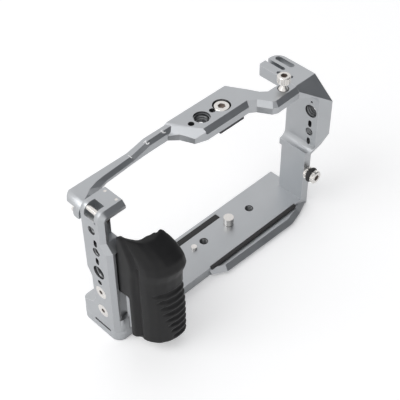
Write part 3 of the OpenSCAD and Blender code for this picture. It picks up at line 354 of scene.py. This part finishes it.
# single screws: the way that the head faces, and the radius and depth to darken
for name, way_out, socket_r, socket_depth in (
        ("shoe_screw", (0, 0, 1), 2.5, 2.6),
        ("top_hand_screw", (0, 0, 1), 2.3, 3.4),
        ("side_hand_screw", (0, -1, 0), 2.3, 3.4),
        ("pocket_screw", (0, -1, 0), 1.3, 2.2),
        ("rail_end_screw", (0, 1, 0), 1.3, 2.2),
        ("arm_rail_screw", (1, 0, 0), 1.3, 2.2)):
    paint_socket_shade(name, [head_centre(name, way_out)], way_out, socket_r, socket_depth)
# pairs of screws: the two heads touch the ends of the node's box
plate_head_r = 4 * mm
plate_low, plate_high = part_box("plate_screws")
plate_y = (plate_low[1] + plate_high[1]) / 2
plate_levels = (plate_low[2] + plate_head_r, plate_high[2] - plate_head_r)
plate_heads = [(plate_low[0], plate_y, z) for z in plate_levels]
paint_socket_shade("plate_screws", plate_heads, (-1, 0, 0), 1.6, 1.8)
foot_head_r = 2.3 * mm
for name in ("foot_screws", "arm_foot_screws"):
    foot_low, foot_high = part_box(name)
    foot_x = (foot_low[0] + foot_high[0]) / 2
    foot_places = (foot_low[1] + foot_head_r, foot_high[1] - foot_head_r)
    foot_heads = [(foot_x, y, foot_low[2]) for y in foot_places]
    paint_socket_shade(name, foot_heads, (0, 0, -1), 1.3, 2.2)

# Shoe block: a small aluminium block, black anodised, drawn up against the rail by its screw.
# It slides into an accessory shoe and stops the cage from turning.
black_aluminium = finish("black_aluminium",
    shade=(0.045, 0.046, 0.05), patch_shade=(0.06, 0.061, 0.065),
    metallic=0.9, roughness=(0.38, 0.46), pit_scale=3000, pit_depth=0.02 * mm,
    worn=((0.35, 0.35, 0.36), 0.2 * mm))
give("shoe_block", black_aluminium)
break_edges("shoe_block", 0.15 * mm)

# Stiff nylon pieces: the carrier behind the grip's left wall, the ring under the upper hand screw
# and the washer round the base plate's big screw. All are moulded, with a fine eroded texture.
moulded_nylon = finish("moulded_nylon",
    shade=(0.018, 0.018, 0.019), patch_shade=(0.026, 0.026, 0.027),
    metallic=0.0, roughness=(0.5, 0.62), pit_scale=2200, pit_depth=0.04 * mm,
    worn=((0.06, 0.06, 0.06), 0.2 * mm))
for name in ("grip_carrier", "top_screw_ring", "camera_screw_washer"):
    give(name, moulded_nylon)
break_edges("grip_carrier", 0.2 * mm)

# Rubber strips and pads: die-cut rubber, glued in milled seats on the lip, on the floor, under the
# rail, on the side plate and under the corner block. Each is crowned and has rounded rims.
pad_rubber = finish("pad_rubber",
    shade=(0.022, 0.022, 0.023), patch_shade=(0.034, 0.034, 0.034),
    metallic=0.0, roughness=(0.62, 0.78), pit_scale=1500, pit_depth=0.06 * mm)
pad_rim = 0.25 * mm
pad_crown = 0.12 * mm
pad_foot = 0.08 * mm
least_corner_r = 0.05 * mm
corner_steps = 5
corner_share = 0.3
rim_angles = (0.4, 0.8, 1.2, 1.57)
crown_shares = (0.2, 0.45, 0.7, 0.93)
floor_gap = 3 * mm
rail_pad_w = 9 * mm


def rounded_outline(width, depth, radius, inset):
    """Counter-clockwise rounded rectangle about the origin, drawn in by inset."""
    r = max(radius - inset, least_corner_r)
    points = []
    for corner, (sx, sy) in enumerate(((1, 1), (-1, 1), (-1, -1), (1, -1))):
        for i in range(corner_steps + 1):
            angle = math.pi / 2 * (corner + i / corner_steps)
            points.append((sx * (width / 2 - inset - r) + r * math.cos(angle),
                sy * (depth / 2 - inset - r) + r * math.sin(angle)))
    return points


def crowned_pad(mesh, low, high, axis, outward):
    """Adds one pad to a mesh. axis is its thin way, outward the side that it shows."""
    across, along = [i for i in range(3) if i != axis]
    size = [high[i] - low[i] for i in range(3)]
    middle = [(low[i] + high[i]) / 2 for i in range(3)]
    shorter = min(size[across], size[along])
    half = shorter / 2
    rim_height = size[axis] - pad_crown - pad_rim
    levels = [(pad_foot, 0.0), (0.0, pad_foot), (0.0, rim_height)]
    for angle in rim_angles:
        levels.append((pad_rim * (1 - math.cos(angle)), rim_height + pad_rim * math.sin(angle)))
    for share in crown_shares:
        bulge = pad_crown * (1 - (1 - share) ** 2)
        levels.append((pad_rim + (half - pad_rim) * share, size[axis] - pad_crown + bulge))
    rings = []
    for inset, height in levels:
        ring = []
        for u, v in rounded_outline(size[across], size[along], shorter * corner_share, inset):
            place = [0.0, 0.0, 0.0]
            place[across] = middle[across] + u
            place[along] = middle[along] + v
            place[axis] = (low[axis] + height) if outward > 0 else (high[axis] - height)
            ring.append(mesh.verts.new(place))
        rings.append(ring)
    for a, b in zip(rings, rings[1:]):
        for i in range(len(a)):
            j = (i + 1) % len(a)
            mesh.faces.new((a[i], a[j], b[j], b[i]))
    mesh.faces.new(rings[0][::-1])
    mesh.faces.new(rings[-1])


def make_pads(name, node_name, boxes, axis, outward):
    """One piece of the pads that a node stands for, one in each box."""
    mesh = bmesh.new()
    for low, high in boxes:
        crowned_pad(mesh, low, high, axis, outward)
    piece = solid_piece(name, mesh, pad_rubber, smooth=True)
    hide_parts(node_name)
    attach(piece, "cage")


def box_ends(name, first_end, second_start):
    """The two ends of a node's box, cut off at two places along X."""
    low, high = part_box(name)
    return [(low, (first_end, high[1], high[2])), ((second_start, low[1], low[2]), high)]


make_pads("lip_strip", "front_strip", [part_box("front_strip")], 2, 1)
floor_low, floor_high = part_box("floor_pads")
floor_middle = (floor_low[0] + floor_high[0]) / 2
floor_boxes = box_ends("floor_pads", floor_middle - floor_gap / 2, floor_middle + floor_gap / 2)
make_pads("floor_strips", "floor_pads", floor_boxes, 2, 1)
rail_low, rail_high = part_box("rail_pads")
rail_boxes = box_ends("rail_pads", rail_low[0] + rail_pad_w, rail_high[0] - rail_pad_w)
make_pads("rail_cushions", "rail_pads", rail_boxes, 2, -1)
make_pads("side_cushion", "side_pad", [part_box("side_pad")], 0, 1)
make_pads("corner_cushion", "corner_pad", [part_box("corner_pad")], 2, -1)

# Rubber ring: a moulded ring stretched into the lower hand screw's waist, so that fingers hold it.
# It has the thin mould line of such rings round its outside.
ring_rubber = finish("ring_rubber",
    shade=(0.02, 0.019, 0.019), patch_shade=(0.03, 0.028, 0.028),
    metallic=0.0, roughness=(0.42, 0.55), pit_scale=1800, pit_depth=0.03 * mm)
mould_line = 0.05 * mm
waist_r = 2.56 * mm
ring_flat_share = 0.98
around_steps, section_steps = 96, 28
ring_low, ring_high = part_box("side_screw_ring")
ring_centre = [(a + b) / 2 for a, b in zip(ring_low, ring_high)]
ring_r = (ring_high[1] - ring_low[1]) / 2
ring_middle_r = (ring_high[0] - ring_low[0]) / 2 - ring_r
mesh = bmesh.new()
rows = []
for i in range(around_steps):
    turn = 2 * math.pi * i / around_steps
    row = []
    for j in range(section_steps):
        angle = 2 * math.pi * j / section_steps
        line = mould_line if j == 0 else 0.0
        r = max(ring_middle_r + (ring_r + line - mould_line) * math.cos(angle), waist_r)
        row.append(mesh.verts.new((
            ring_centre[0] + r * math.cos(turn),
            ring_centre[1] + ring_r * ring_flat_share * math.sin(angle),
            ring_centre[2] + r * math.sin(turn))))
    rows.append(row)
for i in range(around_steps):
    for j in range(section_steps):
        k, m = (i + 1) % around_steps, (j + 1) % section_steps
        mesh.faces.new((rows[i][j], rows[i][m], rows[k][m], rows[k][j]))
waist_ring = solid_piece("waist_ring", mesh, ring_rubber, smooth=True)
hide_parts("side_screw_ring")
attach(waist_ring, "side_screw_lift")

# Hand grip: one hollow silicone moulding, satin black, with a soft swell under the first finger
# and a fan of finger grooves round its front right. It hooks on the carrier.
satin_silicone = finish("satin_silicone",
    shade=(0.009, 0.009, 0.0095), patch_shade=(0.0125, 0.0125, 0.013),
    metallic=0.0, roughness=(0.40, 0.48), pit_scale=2600, pit_depth=0.02 * mm)
satin_silicone.node_tree.nodes["Principled BSDF"].inputs["Specular IOR Level"].default_value = 0.3
grip_data = node["hand_grip"].data.copy()
grip_data.name = "silicone_grip"

# a thick soft lip runs along the top edge, inside the wall; the even faces merge it with the shell
lip_r = 1.25 * mm
lip_sides = 12
lip_path = [Vector(point) * mm for point in (
    (-73, -7.6, 79.6), (-71.6, -9.6, 79), (-69.4, -11.6, 77.8), (-66.5, -13, 76.9),
    (-63.5, -13.6, 76.5), (-60.5, -13.9, 76.5), (-57.6, -13.7, 76.8), (-55.4, -13.3, 77.2),
    (-54, -13.8, 76.8), (-52.9, -15.2, 75.6))]
lip_turns = [2 * math.pi * k / lip_sides for k in range(lip_sides)]
mesh = bmesh.new()
mesh.from_mesh(grip_data)
rings = []
for i, point in enumerate(lip_path):
    way = (lip_path[min(i + 1, len(lip_path) - 1)] - lip_path[max(i - 1, 0)]).normalized()
    side = way.cross(Vector((0, 0, 1))).normalized()
    above = side.cross(way)
    spokes = [side * math.cos(a) + above * math.sin(a) for a in lip_turns]
    rings.append([mesh.verts.new(point + spoke * lip_r) for spoke in spokes])
lip_faces = [mesh.faces.new((a[k], a[k - 1], b[k - 1], b[k]))
    for a, b in zip(rings, rings[1:]) for k in range(lip_sides)]
lip_faces += [mesh.faces.new(rings[0]), mesh.faces.new(rings[-1][::-1])]
bmesh.ops.recalc_face_normals(mesh, faces=lip_faces)
mesh.to_mesh(grip_data)
mesh.free()
grip = bpy.data.objects.new("silicone_grip", grip_data)
scene.collection.objects.link(grip)
grip_weld = grip.modifiers.new("weld", "WELD")
grip_weld.merge_threshold = same_point


even_face = 0.4 * mm


def even_out(label):
    """Even small faces all over the grip, so that it can be smoothed and grooved."""
    remesh = grip.modifiers.new(label, "REMESH")
    remesh.mode = "VOXEL"
    remesh.voxel_size = even_face


def trim_cutter(label, runs_along_x, outline, ends):
    """Cuts a prism off the grip: its outline in mm is (y, z) along X and (x, z) along Y."""
    points = [((end if runs_along_x else a) * mm, (a if runs_along_x else end) * mm, z * mm)
        for end in ends for a, z in outline]
    count = len(outline)
    faces = [(i, (i + 1) % count, (i + 1) % count + count, i + count) for i in range(count)]
    faces += [tuple(range(count))[::-1], tuple(range(count, 2 * count))]
    data = bpy.data.meshes.new("trim_" + label)
    data.from_pydata(points, [], faces)
    solid = bmesh.new()
    solid.from_mesh(data)
    bmesh.ops.recalc_face_normals(solid, faces=solid.faces)
    solid.to_mesh(data)
    solid.free()
    cutter = bpy.data.objects.new("trim_" + label, data)
    scene.collection.objects.link(cutter)
    trim = grip.modifiers.new("trim_" + label, "BOOLEAN")
    trim.operation = "DIFFERENCE"
    trim.object = cutter
    trim.solver = "EXACT"
    return cutter


def as_shown(piece):
    """New mesh of an object as its modifiers or its font make it."""
    bpy.context.view_layer.update()
    depsgraph = bpy.context.evaluated_depsgraph_get()
    return bpy.data.meshes.new_from_object(piece.evaluated_get(depsgraph))


# the rim is trimmed to a falling line, and the inner side stays lower than the front
rim_line = ((-72.5, 84), (-72.5, 80.6), (-67, 77.9), (-61, 77.6), (-56, 78.4), (-53, 78.8),
    (-53, 84))
inner_side_line = ((-13.2, 84), (-13.2, 78.6), (-11, 75.5), (-8, 72), (-4.3, 70), (2, 69),
    (2, 84))
inner_back_line = ((2, 84), (2, 58), (-8, 59.5), (-15, 62), (-20, 65.8), (-21.8, 68), (-19.6, 71),
    (-15.4, 75.8), (-12.5, 79.5), (-12.5, 84))
even_out("even_faces")
cutters = [trim_cutter("rim", False, rim_line, (-20, 2)),
    trim_cutter("inner_side", True, inner_side_line, (-60.5, -45)),
    trim_cutter("inner_back", True, inner_back_line, (-57.4, -45))]
even_out("even_rim")
shaped = as_shown(grip)
grip.modifiers.clear()
for cutter in cutters:
    bpy.data.meshes.remove(cutter.data)
grip.data = shaped

# the shell is smoothed, creased between the flat left side and the rounded front, and grooved
smooth_rounds, smooth_share, last_smooth_share = 18, 0.5, 0.3
crease_place = Vector((-72.9 * mm, -16.1 * mm))
crease_half, crease_depth = 1.0 * mm, 0.7 * mm
crease_low, crease_high = 11 * mm, 64 * mm
groove_count = 8
groove_low, groove_step = 11.5 * mm, 5 * mm
groove_half, groove_depth = 1.9 * mm, 1.1 * mm
thin_share = 0.45
deepening = 2.5
fan_x, fan_shift = -62.0 * mm, 8.0 * mm
fan_low, fan_height = 10 * mm, 35 * mm
start_run, end_run = 7 * mm, 4 * mm
end_y = -9 * mm
grip_middle = Vector((-60.5 * mm, -12 * mm, 0))
inner_r = 9 * mm
least_slope = 0.3


def kept_to_one(value):
    return min(max(value, 0), 1)


def smooth_shell(mesh, share):
    bmesh.ops.smooth_vert(mesh, verts=mesh.verts, factor=share,
        use_axis_x=True, use_axis_y=True, use_axis_z=True)


mesh = bmesh.new()
mesh.from_mesh(shaped)
for i in range(smooth_rounds):
    smooth_shell(mesh, smooth_share)
mesh.normal_update()
moves = []
for vert in mesh.verts:
    place = vert.co
    way = Vector((vert.normal.x, vert.normal.y, 0))
    outwards = Vector((place.x, place.y, 0)) - grip_middle
    if way.length < least_slope or way.dot(outwards) < 0 or outwards.length < inner_r:
        continue
    off_crease = (place.xy - crease_place).length / crease_half
    if off_crease < 1 and crease_low < place.z < crease_high:
        moves.append((vert, way.normalized() * -crease_depth * (1 - off_crease * off_crease)))
    k = round((place.z - groove_low) / groove_step)
    if not 0 <= k < groove_count:
        continue
    level = groove_low + k * groove_step
    # each groove starts on a slanting line, lower ones further round
    start = fan_x - fan_shift * (level - fan_low) / fan_height
    run = kept_to_one((place.x - start) / start_run)
    ending = kept_to_one((end_y - place.y) / end_run)
    half = groove_half * (thin_share + (1 - thin_share) * run)
    across = (place.z - level) / half
    if abs(across) < 1 and run > 0 and ending > 0:
        cut = groove_depth * (1 - across * across) * min(run * deepening, 1) * ending
        moves.append((vert, way.normalized() * -cut))
for vert, move in moves:
    vert.co += move
for face in mesh.faces:
    face.smooth = True
smooth_shell(mesh, last_smooth_share)
mesh.to_mesh(shaped)
mesh.free()
shaped.materials.clear()
shaped.materials.append(satin_silicone)
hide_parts("hand_grip")
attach(grip, "cage")

# Printed numbers on the rail: three plain white digits, screen printed along the strip's slope,
# so they lie almost flush with the metal.
white_print = finish("white_print",
    shade=(0.88, 0.88, 0.88), patch_shade=(0.82, 0.82, 0.82),
    metallic=0.0, roughness=(0.5, 0.6), pit_scale=2000, pit_depth=0.01 * mm)
digit_size = 4.4 * mm
stroke_swell = 0.04 * mm
print_height = 0.03 * mm
strip_low_z, strip_high_z = 90.5 * mm, 93.3 * mm
ramp_start, ramp_end = -36.98 * mm, -25.0 * mm


def strip_height(x):
    """Height of the rail's top at a place on its strip."""
    share = kept_to_one((x - ramp_start) / (ramp_end - ramp_start))
    return strip_low_z + (strip_high_z - strip_low_z) * share


for digit, digit_x, digit_y in (("1", -37.7, 26.8), ("2", -26.1, 26.5), ("3", -14.2, 26.7)):
    text = bpy.data.curves.new("digit", "FONT")
    text.body = digit
    text.size = digit_size
    text.align_x = "CENTER"
    text.align_y = "CENTER"
    text.offset = stroke_swell
    text_holder = bpy.data.objects.new("digit", text)
    scene.collection.objects.link(text_holder)
    data = as_shown(text_holder)
    bpy.data.objects.remove(text_holder)
    data.name = "digit_" + digit
    data.transform(Matrix.Rotation(math.pi, 4, "Z"))
    for vert in data.vertices:
        vert.co.x += digit_x * mm
        vert.co.y += digit_y * mm
        vert.co.z = strip_height(vert.co.x) + print_height
    data.materials.clear()
    data.materials.append(white_print)
    print_piece = bpy.data.objects.new("digit_" + digit, data)
    scene.collection.objects.link(print_piece)
    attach(print_piece, "cage")

# View: a longer lens above the cage's left front corner, at the place that was matched to the
# part's straight edges.
eye = Vector((-0.2741, -0.26925, 0.430))
right = Vector((0.7124, -0.7017, -0.0081))
up = Vector((0.4968, 0.4963, 0.7119))
back = right.cross(up).normalized()
up = back.cross(right).normalized()
right.normalize()
view = bpy.data.cameras.new("view")
view.sensor_width = 36
view.lens = 87.70
view.clip_start = 10 * mm
viewer = bpy.data.objects.new("view", view)
scene.collection.objects.link(viewer)
viewer.matrix_world = Matrix((
    (right.x, up.x, back.x, eye.x),
    (right.y, up.y, back.y, eye.y),
    (right.z, up.z, back.z, eye.z),
    (0, 0, 0, 1)))
scene.camera = viewer

# Floor: a sheet of white paper just under the cage. It is lifted a little where the view sees it,
# so that it shades out to white and keeps the cage's shadow.
floor_half = 3
floor_drop = 0.2 * mm
floor_data = bpy.data.meshes.new("floor")
floor_corners = [(-floor_half, -floor_half, 0), (floor_half, -floor_half, 0),
    (floor_half, floor_half, 0), (-floor_half, floor_half, 0)]
floor_data.from_pydata(floor_corners, [], [(0, 1, 2, 3)])
floor = bpy.data.objects.new("floor", floor_data)
floor.location.z = -floor_drop
scene.collection.objects.link(floor)
paper = bpy.data.materials.new("white_paper")
paper.use_nodes = True
sheet = paper.node_tree.nodes["Principled BSDF"]
sheet.inputs["Base Color"].default_value = (0.97, 0.97, 0.97, 1)
sheet.inputs["Roughness"].default_value = 0.9
sheet.inputs["Specular IOR Level"].default_value = 0.0
sheet.inputs["Emission Color"].default_value = (1, 1, 1, 1)
sheet_seen = paper.node_tree.nodes.new("ShaderNodeLightPath")
lift = paper.node_tree.nodes.new("ShaderNodeMath")
lift.operation = "MULTIPLY"
lift.inputs[1].default_value = 0.2
wire(paper.node_tree, sheet_seen.outputs["Is Camera Ray"], lift.inputs[0])
wire(paper.node_tree, lift.outputs["Value"], sheet.inputs["Emission Strength"])
floor_data.materials.append(paper)

# Surround: a pale room that is a little greyer overhead and dark on one side, as a studio is.
# Behind the cage it is plain white.
world = bpy.data.worlds.new("surround")
scene.world = world
world.use_nodes = True
room = world.node_tree
room_place = room.nodes.new("ShaderNodeTexCoord")


def glow(way, inner, outer):
    """1 towards a direction and 0 far from it, from the cosines outer to inner."""
    towards = room.nodes.new("ShaderNodeVectorMath")
    towards.operation = "DOT_PRODUCT"
    towards.inputs[1].default_value = Vector(way).normalized()
    wire(room, room_place.outputs["Generated"], towards.inputs[0])
    return remapped(room, towards.outputs["Value"], (outer, inner), interpolation="SMOOTHSTEP")


overhead = mixed(room, glow((0.0, 0.0, 1.0), 0.8, 0.2), (1.0, 1.0, 1.0), (0.82, 0.82, 0.83))
one_side = mixed(room, glow((0.62, -0.62, 0.5), 0.93, 0.62), overhead, (0.12, 0.125, 0.135))
room_seen = room.nodes.new("ShaderNodeLightPath")
shown = mixed(room, room_seen.outputs["Is Camera Ray"], one_side, (1.0, 1.0, 1.0))
wire(room, shown, room.nodes["Background"].inputs["Color"])
room.nodes["Background"].inputs["Strength"].default_value = 1.0
scene.view_settings.view_transform = "Standard"

# Lamp: one large soft box at the left and behind, turned to the cage's foot.
# It gives the one soft shadow and the bright upper edges.
lamp = bpy.data.lights.new("soft_lamp", "AREA")
lamp.energy = 3.2
lamp.size = 0.7
soft = bpy.data.objects.new("soft_lamp", lamp)
soft.location = (-0.75, 0.25, 0.9)
lamp_target = Vector((0, 0, 0.05))
soft.rotation_euler = (lamp_target - soft.location).to_track_quat("-Z", "Y").to_euler()
scene.collection.objects.link(soft)
